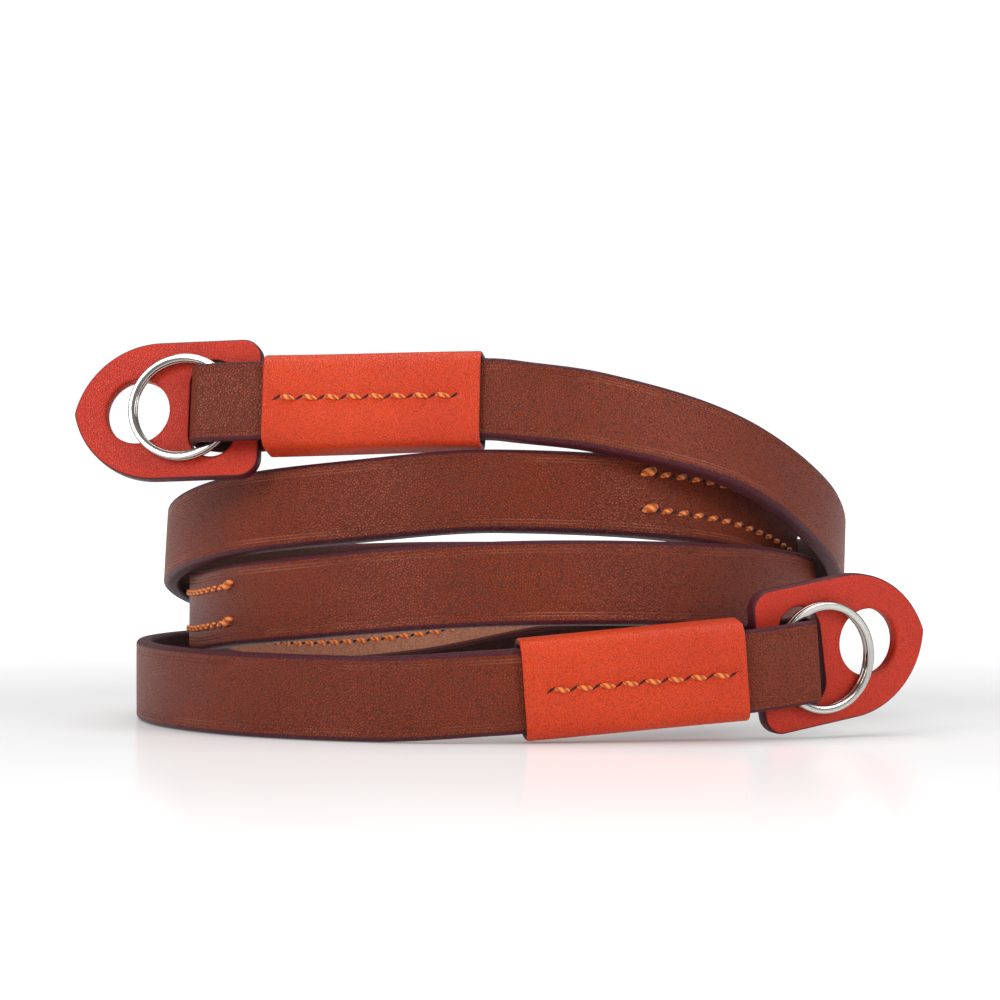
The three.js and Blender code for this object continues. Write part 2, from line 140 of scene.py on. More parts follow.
# side: 1 to the right, -1 to the left; heading: degrees that the end turns back; climb: its slope;
# hang: degrees that ring and guard turn further back; roll: the guard's tilt in its own plane;
# slide: how far the guard is pushed out in its loop; leaves: turn at which the coil stops
ends = {
    "upper": dict(side=-1, heading=9, climb=-1.5, lean=16, hang=2, roll=0, slide=0.0,
                  leaves=2.0),
    "lower": dict(side=1, heading=8, climb=5, lean=-5, hang=19, roll=3, slide=1.2,
                  leaves=1079.0),
}
for end in ends.values():
    away, climb = np.radians(end["heading"]), np.radians(end["climb"])
    leaves = np.array([end["leaves"]])
    end["leave"] = coil_along(leaves)[0] * end["side"]
    end["along"] = np.array([end["side"] * np.cos(away) * np.cos(climb),
                             np.sin(away) * np.cos(climb), np.sin(climb)])
    end["start"] = coil_middle(leaves)[0]
    end["mouth"] = end["start"] + bend_length * unit(end["leave"] + end["along"])
    end["face"], end["width"] = leaning(end["along"] * end["side"], np.array(float(end["lean"])))
    end["origin"] = (end["mouth"] - sleeve_start * end["along"]
                     - (layer_gap + strap_thickness / 2) * end["face"])


def ease(t):
    """Three t squared less two t cubed, held between nought and one."""
    t = np.clip(t, 0, 1)
    return t * t * (3 - 2 * t)


def layers_at(e):
    """In the sleeve the front layer thins and narrows as it nears the mouth, and the two layers
    part to make room for the ring and guard: near sides of both, and the front one's size."""
    spread = (e - sleeve_start) / sleeve_length
    thin = ease((e - sleeve_start) / (sleeve_length - tail_inset))
    return (layer_gap + (loop_front - layer_gap) * spread,
            -layer_gap + (loop_back + layer_gap) * spread,
            strap_thickness + (tongue_thickness - strap_thickness) * thin,
            strap_width + (tongue_width - strap_width) * thin)


def tongue_course(end):
    """The folded end, in the plane of its thickness, e outwards and n to the front: straight in
    the sleeve, two quarter circles round the ring and the guard's strip, and a straight tail."""
    half = tongue_thickness / 2
    e = np.linspace(sleeve_start, sleeve_mouth, 9)
    front, back, thick, wide = layers_at(e)
    sleeve = np.stack([e, front + thick / 2, thick, wide], -1)
    bend = fold_corner + half
    a = np.radians(np.linspace(0, 90, 5))
    level = loop_front - fold_corner
    corner = np.stack([fold_start + bend * np.sin(a), level + bend * np.cos(a)], -1)
    deep = level - loop_back + half
    a = np.radians(np.linspace(18, 90, 5))
    reach = fold_start + bend
    under = np.stack([reach - deep * (1 - np.cos(a)), level - deep * np.sin(a)], -1)
    lead = np.array([[fold_start * 0.35, loop_front + half], [fold_start * 0.7, loop_front + half]])
    last = np.array([[(reach - deep) * 0.35, loop_back - half]])
    loop = np.vstack([lead, corner, under, last])
    hang = np.radians(end["hang"])
    loop = loop @ np.array([[np.cos(hang), -np.sin(hang)], [np.sin(hang), np.cos(hang)]])
    e = np.linspace(sleeve_mouth, sleeve_start + tail_inset, 6)
    tail = np.stack([e, layers_at(e)[1] - half], -1)
    thin = np.vstack([loop, tail])
    size = np.tile([tongue_thickness, tongue_width], (len(thin), 1))
    places = np.vstack([sleeve, np.hstack([thin, size])])
    gone = np.r_[0, np.cumsum(np.linalg.norm(np.diff(places[:, :2], axis=0), axis=1))]
    return through(gone, places, np.linspace(0, gone[-1], 190))


def end_stations(end):
    """Stations from the coil outwards: four on a cubic curve into the sleeve, whose two inner
    points lie a third of the bend from its ends, then the folded course, whose face is its own
    direction turned a quarter."""
    t = np.linspace(0.15, 0.85, 4)[:, None]
    a = end["start"] + end["leave"] * bend_length / 3
    b = end["mouth"] - end["along"] * bend_length / 3
    point = ((1 - t) ** 3 * end["start"] + 3 * t * (1 - t) ** 2 * a
             + 3 * t * t * (1 - t) * b + t ** 3 * end["mouth"])
    way = unit((1 - t) * end["leave"] + t * end["along"]) * end["side"]
    lean_from = coil_rows[0 if end["side"] < 0 else -1, 4]
    face, width = leaning(way, lean_from + (end["lean"] - lean_from) * t[:, 0])
    flat = tongue_course(end)
    way = unit(np.gradient(flat[:, :2], axis=0))
    fold_point = (end["origin"] + flat[:, :1] * end["along"] + flat[:, 1:2] * end["face"])
    fold_face = way[:, :1] * end["face"] - way[:, 1:] * end["along"]
    return dict(
        point=np.vstack([point, fold_point]), face=np.vstack([face, fold_face]),
        width=np.vstack([width, np.tile(end["width"], (len(flat), 1))]),
        thick=np.r_[np.full(len(t), strap_thickness), flat[:, 2]],
        wide=np.r_[np.full(len(t), strap_width), flat[:, 3]])


def band_section(thick, wide, round_, creases=()):
    """Section of a band as two arrays, out of the face and across: flat faces, quarter circles at
    the corners, and V-shaped grooves sunk into the outer face at given distances from the edge.
    A column holds its shares of the two half sizes, of the corner's radius, and its own steps;
    then its place on the painted edge, on the inner face, and where a groove's floor gets a painted
    highlight."""
    crease_half, crease_depth = 0.13, 0.065
    c = np.minimum(round_, thick * 0.4)[:, None]
    across = np.linspace(-1, 1, 9)[1:-1]
    columns = [(1, f, 1, 0, 0, 0, 0, 0, 0) for f in across]
    for d in creases:
        for step, deep, lit in ((-crease_half, 0, 0), (0, -crease_depth, 1), (crease_half, 0, 0)):
            columns += [(1, s, 1, 0, deep, s * (round_ - d + step), 0, 0, lit) for s in (-1, 1)]
    columns.sort(key=lambda column: column[1] * strap_width / 2 + column[5])
    for quarter, (fn, fu) in enumerate(((1, 1), (-1, 1), (-1, -1), (1, -1))):
        a = np.radians(quarter * 90 + np.linspace(0, 90, 7))
        paint = np.clip(np.abs(np.sin(a)) * 5 + 0.28, 0, 1)
        columns += [(fn, fu, np.cos(x), np.sin(x), 0, 0, p, float(fn < 0), 0) for x, p in zip(a, paint)]
        if quarter == 1:
            columns += [(-1, -f, -1, 0, 0, 0, 0, 1, 0) for f in across]
    fn, fu, cn, cu, dn, du, paint, inside, pressed = np.array(columns, float).T
    n = fn * (thick[:, None] / 2 - c) + c * cn + dn
    u = fu * (wide[:, None] / 2 - c) + c * cu + du
    return n, u, *(np.tile(mark, (len(thick), 1)) for mark in (paint, inside, pressed))


def tube_faces(rows, columns, closed=False):
    """Quads of a grid that closes across its columns, and along its rows too if it is a ring;
    otherwise one many-sided face closes each end."""
    i = np.arange(rows if closed else rows - 1)[:, None]
    j = np.arange(columns)[None]
    here, there = i * columns, (i + 1) % rows * columns
    quads = np.stack(np.broadcast_arrays(here + j, here + (j + 1) % columns,
                                         there + (j + 1) % columns, there + j), -1).reshape(-1, 4)
    if closed:
        return [quads]
    return [quads, np.arange(columns)[None, ::-1], (rows - 1) * columns + np.arange(columns)[None]]


def piece(name, points, faces, material, **marks):
    """A closed mesh from points in millimetres. Its faces are turned round if the sum of the
    triangles' triple products, which is six times its volume, comes out negative."""
    points = (points.reshape(-1, 3) + part_origin) / 1000
    centred = points - points.mean(0)
    volume = sum(np.einsum("ij,ij->", centred[f[:, 0]], np.cross(centred[f[:, k]], centred[f[:, k + 1]]))
                 for f in faces for k in range(1, f.shape[1] - 1))
    turned = [f[:, ::-1] if volume < 0 else f for f in faces]
    mesh = bpy.data.meshes.new(name)
    mesh.from_pydata(points.tolist(), [], [row for f in turned for row in f.tolist()])
    mesh.polygons.foreach_set("use_smooth", np.ones(len(mesh.polygons), bool))
    for mark, values in marks.items():
        mesh.attributes.new(mark, "FLOAT", "POINT").data.foreach_set("value", values.astype(float).ravel())
    mesh.materials.append(material)
    made = bpy.data.objects.new(name, mesh)
    bpy.context.scene.collection.objects.link(made)
    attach(made, "root")
    return made


def colour(red, green, blue):
    """A screen colour, 0 to 255, as the shader's linear light: below 4% divided by 12.92, above
    it plus 5.5%, over 1.055, to the power 2.4."""
    c = np.array([red, green, blue]) / 255
    return (*np.where(c <= 0.04045, c / 12.92, ((c + 0.055) / 1.055) ** 2.4), 1.0)


def wire(tree, kind, sockets, **settings):
    """One shader node: settings are its own choices, sockets its inputs, each a value or another
    node's output."""
    made = tree.nodes.new(kind)
    for key, value in settings.items():
        setattr(made, key, value)
    for key, value in sockets.items():
        if isinstance(value, bpy.types.NodeSocket):
            tree.links.new(value, made.inputs[key])
        else:
            made.inputs[key].default_value = value
    return made


def mixed(tree, factor, first, second):
    """A blend of two colours: the first where the factor is nought, the second where it is one."""
    blend = wire(tree, "ShaderNodeMix", {0: factor, 6: first, 7: second}, data_type="RGBA")
    return blend.outputs[2]


def leather(name, tone, deep, paint, inner=None, pebble=0.00036, rough=0.46, relief=0.7,
            valley_shade=0.4, shine=0.28, pressed=None):
    """Grain leather: small pebbles with painted shade in the hollows between them and a painted highlight
    on their crowns, fine pores and slow cloudy changes of tone, and where asked a painted highlight along
    the ironed lines. The piece's own mark says where its edge is painted, and another where the inner side
    shows."""
    material = bpy.data.materials.new(name)
    material.use_nodes = True
    tree = material.node_tree
    shader = tree.nodes["Principled BSDF"]
    place = wire(tree, "ShaderNodeTexCoord", {}).outputs["Object"]
    cloud = wire(tree, "ShaderNodeTexNoise", {"Vector": place, "Scale": 55, "Detail": 5}).outputs["Fac"]
    pore = wire(tree, "ShaderNodeTexNoise", {"Vector": place, "Scale": 3800, "Detail": 2}).outputs["Fac"]
    cell = wire(tree, "ShaderNodeTexVoronoi", {"Vector": place, "Scale": 1 / pebble},
                feature="DISTANCE_TO_EDGE").outputs["Distance"]
    dome = wire(tree, "ShaderNodeMapRange", {"Value": cell, "From Min": 0.0, "From Max": 0.22},
                interpolation_type="SMOOTHSTEP").outputs["Result"]
    height = wire(tree, "ShaderNodeMath", {0: pore, 1: 0.9, 2: dome}, operation="MULTIPLY_ADD").outputs[0]
    shade = wire(tree, "ShaderNodeMapRange", {"Value": cloud, "From Min": 0.2, "From Max": 0.8})
    base = mixed(tree, shade.outputs["Result"], colour(*deep), colour(*tone))
    # Painted shade and highlight of the grain: the colour is scaled down in the hollows and up to 1.2
    # times on the crowns.
    depth = wire(tree, "ShaderNodeMapRange", {"Value": dome, "To Min": valley_shade, "To Max": 1.2})
    shaded_grain = wire(tree, "ShaderNodeVectorMath", {0: base, "Scale": depth.outputs["Result"]},
                operation="SCALE")
    shown = shaded_grain.outputs[0]
    # Painted highlight along the ironed lines, broken up by the cloud noise.
    if pressed:
        line = wire(tree, "ShaderNodeAttribute", {}, attribute_name="pressed").outputs["Fac"]
        faint = wire(tree, "ShaderNodeMapRange", {"Value": cloud, "From Min": 0.42, "From Max": 0.66,
                                                  "To Max": 0.42}).outputs["Result"]
        broken_highlight = wire(tree, "ShaderNodeMath", {0: line, 1: faint}, operation="MULTIPLY").outputs[0]
        shown = mixed(tree, broken_highlight, shown, colour(*pressed))
    if inner:
        side = wire(tree, "ShaderNodeAttribute", {}, attribute_name="inside").outputs["Fac"]
        shown = mixed(tree, side, shown, colour(*inner))
    edge = wire(tree, "ShaderNodeAttribute", {}, attribute_name="painted").outputs["Fac"]
    worn = wire(tree, "ShaderNodeMath", {0: cloud, 1: 0.5, 2: edge}, operation="MULTIPLY_ADD").outputs[0]
    painted = wire(tree, "ShaderNodeMapRange", {"Value": worn, "From Min": 0.62, "From Max": 0.82},
                   interpolation_type="SMOOTHSTEP").outputs["Result"]
    tree.links.new(mixed(tree, painted, shown, colour(*paint)), shader.inputs["Base Color"])
    gloss = wire(tree, "ShaderNodeMapRange", {"Value": height, "From Max": 1.6, "To Min": rough + 0.12,
                                              "To Max": rough - 0.04}).outputs["Result"]
    tree.links.new(gloss, shader.inputs["Roughness"])
    shader.inputs["Specular IOR Level"].default_value = shine
    bump = wire(tree, "ShaderNodeBump", {"Strength": relief, "Distance": 0.00008, "Height": height})
    tree.links.new(bump.outputs["Normal"], shader.inputs["Normal"])
    return material


edge_paint = (70, 12, 24)
# The strap's ironed lines get a painted highlight, a pale pink-brown.
strap_leather = leather("strap_leather", (128, 45, 10), (108, 35, 7), edge_paint, (58, 24, 14),
                        rough=0.4, relief=1.0, pressed=(190, 120, 96))
turns = np.linspace(coil_rows[0, 0], coil_rows[-1, 0], 900)
along, face, width = coil_sides(turns)
coil = dict(point=coil_middle(turns), face=face, width=width,
            thick=np.full(len(turns), strap_thickness), wide=np.full(len(turns), strap_width))
upper, lower = end_stations(ends["upper"]), end_stations(ends["lower"])
whole = {key: np.concatenate([upper[key][::-1], coil[key], lower[key]]) for key in coil}
n, u, paint, inside, pressed = band_section(whole["thick"], whole["wide"], edge_round,
                                            creases=(1.3, 1.72))
pressed = pressed * (whole["thick"] > 0.9 * strap_thickness)[:, None]    # none on the thinned ends
points = (whole["point"][:, None] + whole["face"][:, None] * n[..., None]
          + whole["width"][:, None] * u[..., None])
strap = piece("strap_leather_band", points, tube_faces(*n.shape), strap_leather,
              painted=paint, inside=inside, pressed=pressed)
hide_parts("strap")

# Shoulder pad. A softer tan strip lines the inner face of the middle of the strap, where it lies
# on the shoulder. Two rows of orange thread sew it on, each ending in a thick double stitch.

pad_turns = np.linspace(384, 672, 420)
pad_width, pad_thickness = 11.0, 1.45
pad_skive, pad_thin_end = 5.0, 0.5       # the ends thin over this length, down to this thickness
pad_corner = 2.5
pad_gap = 0.02
pad_leather = leather("pad_leather", (162, 108, 84), (148, 94, 72), (84, 40, 32), rough=0.62,
                      pebble=0.0005, relief=0.4, valley_shade=0.78)
middle = coil_middle(pad_turns)
along, face, width = coil_sides(pad_turns)
run = np.r_[0, np.cumsum(np.linalg.norm(np.diff(middle, axis=0), axis=1))]
from_end = np.minimum(run, run[-1] - run)
thick = pad_thin_end + (pad_thickness - pad_thin_end) * ease(from_end / pad_skive)
into_corner = 1 - np.clip(from_end / pad_corner, 0, 1)
wide = pad_width - 2 * pad_corner * (1 - np.sqrt(1 - into_corner ** 2))
n, u, paint = band_section(thick, wide, 0.4)[:3]
n = n - (strap_thickness / 2 + pad_gap + thick / 2)[:, None]
points = middle[:, None] + face[:, None] * n[..., None] + width[:, None] * u[..., None]
pad = piece("shoulder_pad_leather", points, tube_faces(*n.shape), pad_leather, painted=paint)
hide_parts("shoulder_pad")


along_stitch = np.linspace(-1, 1, 8)[:, None]
round_stitch = np.linspace(-np.pi / 2, 1.5 * np.pi, 9)[None, :-1]


def thread_stitches(middle, along, out, length, thick, high, sunk=0.22):
    """Plump stitches: each is a tube whose axis rises as one less the square of the way along it,
    so both ends dive into the leather, and whose radius swells twice round for the two plies."""
    s, a = along_stitch, round_stitch
    radius = thick / 2 * (1 - 0.75 * s ** 4) * (1 + 0.12 * np.cos(2 * a + 3.4 * s))
    side = np.cross(along, out)
    lift = high * (1 - s * s) - sunk + radius * np.sin(a)
    return (middle[:, None, None] + along[:, None, None] * (length / 2 * s + 0 * a)[..., None]
            + out[:, None, None] * lift[..., None]
            + side[:, None, None] * (radius * np.cos(a))[..., None])


def pricked(length, wide, turn):
    """The painted shade in a pricked hole, as a flat dark lens: an ellipse turned by an angle, a little
    proud of the face in its middle and sunk at its rim. Gives steps along, across and outwards."""
    ring = np.array([0.03, 0.6, 1.0])[:, None]
    a = np.linspace(0, 2 * np.pi, 11)[None, :-1]
    x, y = length / 2 * ring * np.cos(a), wide / 2 * ring * np.sin(a)
    c, s = np.cos(np.radians(turn)), np.sin(np.radians(turn))
    return x * c - y * s, x * s + y * c, 0.05 - 0.08 * ring ** 2 + 0 * a


def plies(grid):
    """A mark that runs round and along each stitch, from which the thread's twist is shaded."""
    return np.tile(1.6 * round_stitch + 6.5 * along_stitch, (len(grid), 1, 1))


def repeated(grid):
    """Faces of many like tubes set one after another: one tube's faces, moved on each time."""
    one = tube_faces(*grid.shape[1:3])
    step = np.arange(len(grid))[:, None, None] * (grid.shape[1] * grid.shape[2])
    return [(f[None] + step).reshape(-1, f.shape[1]) for f in one]


def thread(name, tone, deep):
    """Waxed twisted thread: the sine of the stitch's own mark draws its plies, with a painted highlight
    on their crowns and painted shade between them, and a fine noise for the fibres."""
    material = bpy.data.materials.new(name)
    material.use_nodes = True
    tree = material.node_tree
    shader = tree.nodes["Principled BSDF"]
    place = wire(tree, "ShaderNodeTexCoord", {}).outputs["Object"]
    fibre = wire(tree, "ShaderNodeTexNoise", {"Vector": place, "Scale": 4200, "Detail": 3}).outputs["Fac"]
    twist = wire(tree, "ShaderNodeAttribute", {}, attribute_name="twist").outputs["Fac"]
    wave = wire(tree, "ShaderNodeMath", {0: twist}, operation="SINE").outputs[0]
    ply = wire(tree, "ShaderNodeMath", {0: wave, 1: 0.42, 2: fibre}, operation="MULTIPLY_ADD").outputs[0]
    ply_relief_and_shade = wire(tree, "ShaderNodeMapRange", {"Value": ply, "From Min": 0.1,
                                               "From Max": 0.85}).outputs["Result"]
    # Painted shade between the plies and a painted highlight on their crowns.
    tree.links.new(mixed(tree, ply_relief_and_shade, colour(*deep), colour(*tone)), shader.inputs["Base Color"])
    shader.inputs["Roughness"].default_value = 0.5
    shader.inputs["Sheen Weight"].default_value = 0.2
    bump = wire(tree, "ShaderNodeBump", {"Strength": 0.8, "Distance": 0.0001, "Height": ply_relief_and_shade})
    tree.links.new(bump.outputs["Normal"], shader.inputs["Normal"])
    return material


def painted_hole_shade(name, tone):
    """Painted shade for the bottom of a pricked hole: dark, with a little of the leather's colour."""
    material = bpy.data.materials.new(name)
    material.use_nodes = True
    tree = material.node_tree
    shader = tree.nodes["Principled BSDF"]
    place = wire(tree, "ShaderNodeTexCoord", {}).outputs["Object"]
    speck = wire(tree, "ShaderNodeTexNoise", {"Vector": place, "Scale": 3000}).outputs["Fac"]
    darker = [0.6 * part for part in tone]
    tree.links.new(mixed(tree, speck, colour(*darker), colour(*tone)), shader.inputs["Base Color"])
    shader.inputs["Roughness"].default_value = 0.9
    return material


orange_thread = thread("orange_thread", (244, 132, 26), (150, 56, 10))
# Dark lenses of painted shade stand in the pricked holes of the pad's rows.
strap_hole_shade = painted_hole_shade("strap_hole_shade", (52, 24, 16))
pad_stitch = dict(length=2.2, thick=0.72, high=0.36)
pad_knot = dict(length=2.9, thick=1.2, high=0.55)
knot_shift = 0.18
stitch_slant = np.radians(17)
stitch_pitch = 2.75
row_across = 2.7                          # each row's distance from the strap's middle
row_margin = 2.5
row_length = run[-1] - 2 * row_margin
count = int(row_length / stitch_pitch)
stitch_turns = np.interp(row_margin + (np.arange(count) + 0.5) * row_length / count, run, pad_turns)
hole_turns = np.interp(row_margin + np.arange(count + 1) * row_length / count, run, pad_turns)


def on_strap(turns, across, outer):
    """Places on a face of the strap: the middle moved out by half the thickness, or in by that
    and the pad, and across by the row's distance. Both rows start a little high and drift to
    their place by turn 450. Gives place, the stitch's slanting direction and the way out."""
    along, face, width = coil_sides(turns)
    out = face if outer else -face
    far = strap_thickness / 2 + (0 if outer else pad_thickness + pad_gap)
    drift = 0.7 * ease((450 - turns) / 60)
    place = coil_middle(turns) + out * far + width * (across + drift)[:, None]
    return place, along * np.cos(stitch_slant) + width * np.sin(stitch_slant), out


for label, outer in (("outer", True), ("inner", False)):
    grids, holes = [], []
    for across in (-row_across, row_across):
        grids.append(thread_stitches(*on_strap(stitch_turns, across, outer), **pad_stitch))
        knot = on_strap(stitch_turns[[0, -1]], across + knot_shift, outer)
        grids.append(thread_stitches(*knot, **pad_knot))
        place, way, out = on_strap(hole_turns, across, outer)
        x, y, lift = (step[None, ..., None] for step in pricked(length=1.1, wide=0.6, turn=30))
        holes.append(place[:, None, None] + way[:, None, None] * x
                     + np.cross(out, way)[:, None, None] * y + out[:, None, None] * lift)
    grid, hole = np.concatenate(grids), np.concatenate(holes)
    piece(f"pad_stitches_{label}", grid, repeated(grid), orange_thread, twist=plies(grid))
    # Flat dark lenses of painted shade in the pricked holes.
    piece(f"pad_stitch_hole_shade_{label}", hole, repeated(hole), strap_hole_shade)

# Sleeves. A short piece of orange-red leather wraps each end and hides the folded tail. One row
# of orange saddle stitches goes through all the layers, and the ends are painted and creased.

sleeve_wall = 0.9
sleeve_half = strap_width / 2 + fit_gap + sleeve_wall
section_power = 3.6       # the higher, the sharper the sleeve's corners
hollow_power = 8
butt_seam = 2.4           # the wrap's two ends meet behind, this far off the middle
sleeve_stitch = dict(length=2.3, thick=0.68, high=0.46)
row_pitch = 3.21
slits = -3.25 - row_pitch * np.arange(9)
sleeve_leather = leather("sleeve_leather", (204, 60, 6), (184, 44, 4), edge_paint, pebble=0.0003,
                         rough=0.4, relief=0.6, valley_shade=0.66, shine=0.3)
# Dark lenses of painted shade stand in the sleeve's slits.
slit_shade = painted_hole_shade("slit_shade", (74, 16, 8))


def pucker(e, u):
    """How the outer face stands off its plain section: a furrow along the stitches that is
    deepest at each slit, a wide dip about it, and an ironed line near each end. Each falls off
    as the exponential of minus the square of the distance over its half width."""
    fade = 1.2
    in_row = ease((e - slits[-1] + fade) / fade) * ease((slits[0] + fade - e) / fade)
    pull = 0.65 + 0.35 * np.cos(2 * np.pi * (e - slits[0]) / row_pitch)
    furrow = 0.3 * in_row * pull * np.exp(-(u / 0.95) ** 2)
    dip = 0.25 * np.exp(-(u / 2.6) ** 2)
    line = sum(np.exp(-((e - at) / 0.2) ** 2) for at in (sleeve_start + 1.5, sleeve_mouth - 1.3))
    return -furrow - dip - 0.1 * line


def sleeve_sides(e, grow):
    """Middle and half of the sleeve's depth: the layers inside it, the fit and the grown wall."""
    front, back, thick = layers_at(e)[:3]
    front = front + thick + fit_gap + grow
    back = back - tongue_thickness - fit_gap - grow
    return (front + back) / 2, (front - back) / 2


def in_end(end, e, n, u):
    """Places of an end: its origin and e along it, n out of its face and u across its width."""
    return (end["origin"] + end["along"] * e[..., None] + end["face"] * n[..., None]
            + end["width"] * u[..., None])


def on_sleeve(end, e, u, facing, lift=0.0):
    """A place on the outer leather: its section is a rounded oblong, depth times one less the
    share across to the section's power, all to one over that power, and the pucker is added."""
    middle, half = sleeve_sides(e, sleeve_wall)
    crown = (1 - np.abs(u / sleeve_half) ** section_power) ** (1 / section_power)
    return in_end(end, e, middle + facing * (half * crown + pucker(e, u) + lift), u)


# Angles round the section: on the flat side even steps across, for the furrow, as far as this
# share of the half width, then even angles round the corner
flat_share = 0.84
flat_angles = np.arcsin(np.linspace(0, flat_share, 29) ** (section_power / 2))
quarter = np.r_[flat_angles, np.linspace(flat_angles[-1], np.pi / 2, 12)[1:]]
around = np.r_[quarter, np.pi - quarter[-2::-1], np.pi + quarter[1:], 2 * np.pi - quarter[-2:0:-1]]
for label, end in ends.items():
    round_end = np.radians(np.linspace(-90, 90, 7))[1:-1]
    half_wall = sleeve_wall / 2
    out_e = np.linspace(sleeve_start + half_wall, sleeve_mouth - half_wall, 200)
    in_e = out_e[::-8]
    e = np.r_[out_e, sleeve_mouth - half_wall + half_wall * np.cos(round_end),
              in_e, sleeve_start + half_wall - half_wall * np.cos(round_end)]
    grow = np.r_[np.full(len(out_e), sleeve_wall), half_wall - half_wall * np.sin(round_end),
                 np.zeros(len(in_e)), half_wall + half_wall * np.sin(round_end)]
    middle, half = (side[:, None] for side in sleeve_sides(e, grow))
    power = hollow_power - (hollow_power - section_power) * grow / sleeve_wall
    sharp = 2 / power[:, None]
    cn, cu = np.cos(around), np.sin(around)
    n = np.sign(cn) * np.abs(cn) ** sharp * half
    u = np.sign(cu) * np.abs(cu) ** sharp * (strap_width / 2 + fit_gap + grow)[:, None]
    outside = (grow / sleeve_wall)[:, None] * ease(np.abs(cn) * 3)
    butt = outside * (cn < 0) * np.exp(-((u - butt_seam) / 0.13) ** 2)
    n = n + np.sign(cn) * outside * pucker(e[:, None], u) + 0.22 * butt + middle
    points = in_end(end, e[:, None], n, u)
    paint = np.maximum(np.clip(1.35 - grow / sleeve_wall * 1.35, 0, 1)[:, None], 0.9 * butt)
    sleeve = piece(f"sleeve_{label}_leather", points, tube_faces(*n.shape, closed=True),
                   sleeve_leather, painted=paint)
    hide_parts(f"sleeve_{label}")

    right = end["along"] * end["side"]
    grids, cuts = [], []
    for facing in (1, -1):
        at = (slits[1:] + slits[:-1]) / 2
        tilt = np.radians(-12 * facing)
        way = np.tile(right * np.cos(tilt) + end["width"] * np.sin(tilt), (len(at), 1))
        out = np.tile(end["face"] * facing, (len(at), 1))
        place = on_sleeve(end, at, 0 * at, facing)
        grids.append(thread_stitches(place, way, out, **sleeve_stitch))
        x, y, lift = (step[None] for step in pricked(length=2.0, wide=0.42, turn=32 * facing))
        cuts.append(on_sleeve(end, slits[:, None, None] + end["side"] * x, y + 0 * slits[:, None, None],
                              facing, lift))
    grid, cut = np.concatenate(grids), np.concatenate(cuts)
    piece(f"sleeve_stitches_{label}", grid, repeated(grid), orange_thread, twist=plies(grid))
    # Flat dark lenses of painted shade in the slits.
    piece(f"sleeve_slit_shade_{label}", cut, repeated(cut), slit_shade)

# Lug guards. A pointed tab of stiff red-orange leather sits behind each ring, to keep its metal
# off the camera body. The strap's fold passes its slot, the ring crosses its round hole, and its
# cut edges are rounded and painted.

guard_round = 0.45
guard_strip, guard_bridge, guard_tip, guard_side = 3.8, 3.2, 4.85, 3.2    # leather round the holes
slot_room, slot_side_room = 0.6, 1.3
slot_end = fold_start + fold_corner + tongue_thickness + slot_room
hole_radius = 4.8
hole_centre = slot_end + guard_bridge + hole_radius
guard_length = hole_centre + hole_radius + guard_tip
slot_length = tongue_width + 2 * slot_side_room
guard_half = slot_length / 2 + guard_side
guard_leather = leather("guard_leather", (196, 44, 8), (164, 30, 6), edge_paint, pebble=0.0003,
                        rough=0.44, relief=0.45, valley_shade=0.68, shine=0.3)


def arc(x, y, radius, start, stop, steps):
    """Points of an arc and their directions from its centre."""
    a = np.linspace(start, stop, steps)
    out = np.stack([np.cos(a), np.sin(a)], -1)
    return np.array([x, y]) + radius * out, out


def guard_loops():
    """Edge of the tab, of its hole and of its slot, each as points and directions out of the
    leather: straight base, parallel sides, two long arcs that meet in a rounded tip."""
    shoulder, tip, corner = 12.7, 1.5, 3.0
    sweep = (shoulder ** 2 + guard_half ** 2) / (2 * guard_half)
    drop = guard_half - sweep
    side_end = guard_length - shoulder
    ahead = np.sqrt((sweep - tip) ** 2 - drop ** 2)
    meet = np.arctan2(-drop, ahead)
    q = np.pi / 2
    parts = [arc(corner, -guard_half + corner, corner, 2 * q, 3 * q, 10),
             arc(side_end, -drop, sweep, -q, -meet, 26),
             arc(side_end + ahead, 0, tip, -meet, meet, 12),
             arc(side_end, drop, sweep, meet, q, 26),
             arc(corner, guard_half - corner, corner, q, 2 * q, 10)]
    outline = tuple(np.vstack(part) for part in zip(*parts))
    hole = arc(hole_centre, 0, hole_radius, 2 * np.pi, np.pi / 24, 48)
    end_round = (slot_end - guard_strip) / 2
    arm = slot_length / 2 - end_round
    parts = [arc(guard_strip + end_round, arm, end_round, 2 * q, 0, 16),
             arc(guard_strip + end_round, -arm, end_round, 0, -2 * q, 16)]
    slot = tuple(np.vstack(part) for part in zip(*parts))
    return [outline, (hole[0], -hole[1]), (slot[0], -slot[1])]


